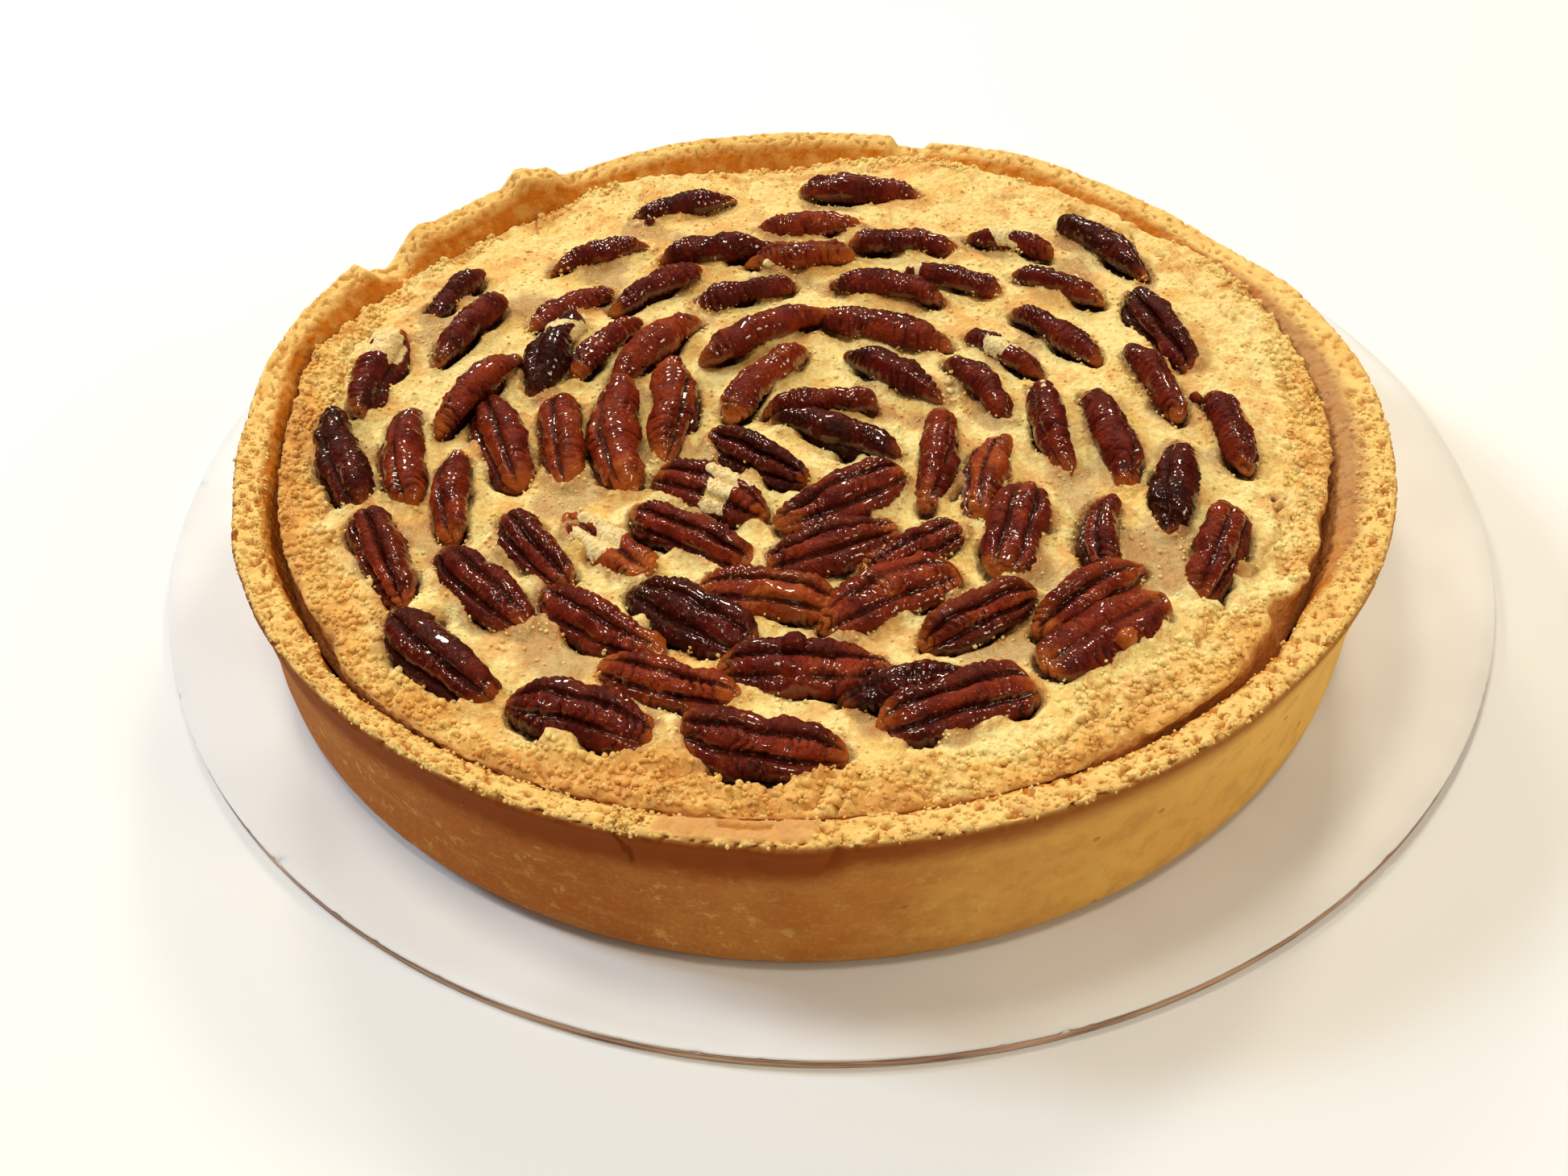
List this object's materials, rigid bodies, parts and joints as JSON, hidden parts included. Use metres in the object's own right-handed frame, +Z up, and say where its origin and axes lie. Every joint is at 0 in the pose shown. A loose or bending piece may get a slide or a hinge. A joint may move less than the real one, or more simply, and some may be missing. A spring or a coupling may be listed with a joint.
{
  "type": "frangipane tart",
  "caption": "Deep shortcrust tart filled with almond frangipane and set with rings of glazed pecan halves, standing on a flat round white cake board.",
  "frame": {"origin": "centre of the cake board's underside, on the surface that it stands on", "axes": "+Z up, out of the tart's top; -Y towards the viewer of the picture, +X to the viewer's right"},
  "size_m": [0.3, 0.3, 0.0472],
  "materials": {
    "board": "white coated card with a bare tan edge",
    "crust": "baked shortcrust, smooth and browned outside, pale and crumbly on the rim",
    "filling": "baked almond sponge, crumbly, browned towards its edge",
    "pecan": "roasted pecan halves under a thin sugar glaze"
  },
  "bodies": {
    "root": {"board": "board", "crust": "crust", "filling": "filling", "pecan_1_01": "pecan", "pecan_2_01": "pecan", "pecan_2_04": "pecan", "pecan_2_05": "pecan", "pecan_2_06": "pecan", "pecan_2_08": "pecan", "pecan_3_01": "pecan", "pecan_3_02": "pecan", "pecan_3_03": "pecan", "pecan_3_04": "pecan", "pecan_3_06": "pecan", "pecan_3_07": "pecan", "pecan_3_09": "pecan", "pecan_4_01": "pecan", "pecan_4_02": "pecan", "pecan_4_03": "pecan", "pecan_4_06": "pecan", "pecan_4_09": "pecan", "pecan_4_14": "pecan", "pecan_4_15": "pecan", "pecan_5_01": "pecan", "pecan_5_02": "pecan", "pecan_5_03": "pecan", "pecan_5_04": "pecan", "pecan_5_05": "pecan", "pecan_5_06": "pecan", "pecan_5_08": "pecan", "pecan_5_10": "pecan", "pecan_5_11": "pecan", "pecan_5_12": "pecan", "pecan_5_13": "pecan", "pecan_5_14": "pecan", "pecan_5_17": "pecan", "pecan_5_20": "pecan", "pecan_6_01": "pecan", "pecan_6_02": "pecan", "pecan_6_03": "pecan", "pecan_6_04": "pecan", "pecan_6_05": "pecan", "pecan_6_06": "pecan", "pecan_6_07": "pecan", "pecan_6_08": "pecan", "pecan_6_09": "pecan", "pecan_6_10": "pecan", "pecan_6_11": "pecan", "pecan_6_15": "pecan", "pecan_6_16": "pecan", "pecans_a": "pecan", "pecans_b": "pecan", "pecans_c": "pecan", "pecans_d": "pecan", "pecans_e": "pecan", "pecans_f": "pecan", "pecans_g": "pecan", "pecans_i": "pecan", "pecans_j": "pecan", "pecans_k": "pecan"}
  },
  "joints": []
}
